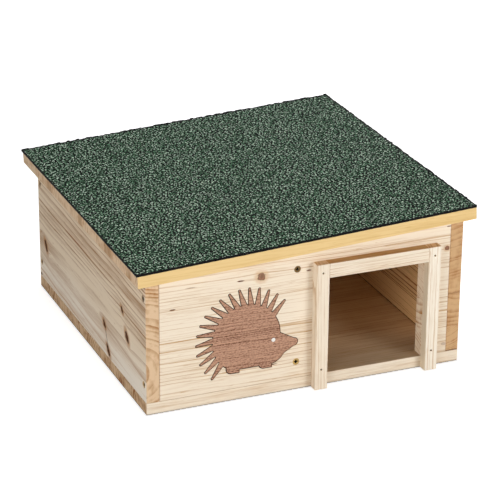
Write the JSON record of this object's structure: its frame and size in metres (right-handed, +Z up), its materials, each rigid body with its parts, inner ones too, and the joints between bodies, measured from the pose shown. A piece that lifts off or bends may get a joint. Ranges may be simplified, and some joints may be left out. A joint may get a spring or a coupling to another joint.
{
  "type": "hedgehog house",
  "caption": "Low square pine hedgehog house with a framed doorway, inner partition, sunk animal inlay and a sloping felted roof that swings up on rear hinges.",
  "frame": {"origin": "centre of the floor panel's underside, on the ground", "axes": "+Z up, -Y towards the doorway side, +X towards the high side of the roof"},
  "size_m": [0.425, 0.432, 0.2049],
  "materials": {
    "pine": "bare planed pine, edge-glued",
    "pale_pine": "bare planed pine sticks",
    "roof_pine": "bare planed pine, warm yellow",
    "brown_ply": "brown stained plywood",
    "white_plug": "matt white",
    "mineral_felt": "green mineral granules on black bitumen",
    "zinc_screw": "yellow zinc plated",
    "hinge_steel": "bright zinc plated"
  },
  "bodies": {
    "house": {"floor_panel": "pine", "left_wall": "pine", "right_wall": "pine", "front_wall": "pine", "back_wall": "pine", "partition_wall": "pine", "door_post_left": "pale_pine", "door_post_right": "pale_pine", "door_lintel": "pale_pine", "motif_inlay": "brown_ply", "motif_eye": "white_plug", "left_wall_screws": "zinc_screw", "right_wall_screws": "zinc_screw", "partition_screws": "zinc_screw", "floor_screws": "zinc_screw", "frame_brads": "hinge_steel", "hinge_left_wall_leaf": "hinge_steel", "hinge_left_pin": "hinge_steel", "hinge_right_wall_leaf": "hinge_steel", "hinge_right_pin": "hinge_steel", "hinge_wall_screws": "hinge_steel"},
    "roof": {"roof_board": "roof_pine", "roof_felt": "mineral_felt", "hinge_left_roof_leaf": "hinge_steel", "hinge_right_roof_leaf": "hinge_steel", "hinge_roof_screws": "hinge_steel"}
  },
  "joints": [
    {"name": "roof_hinge", "type": "hinge", "parent": "house", "child": "roof", "pos_m": [0.00016, 0.2033, 0.1725], "axis": [-0.9986, 0, -0.0524], "range_deg": [0, 100]}
  ]
}
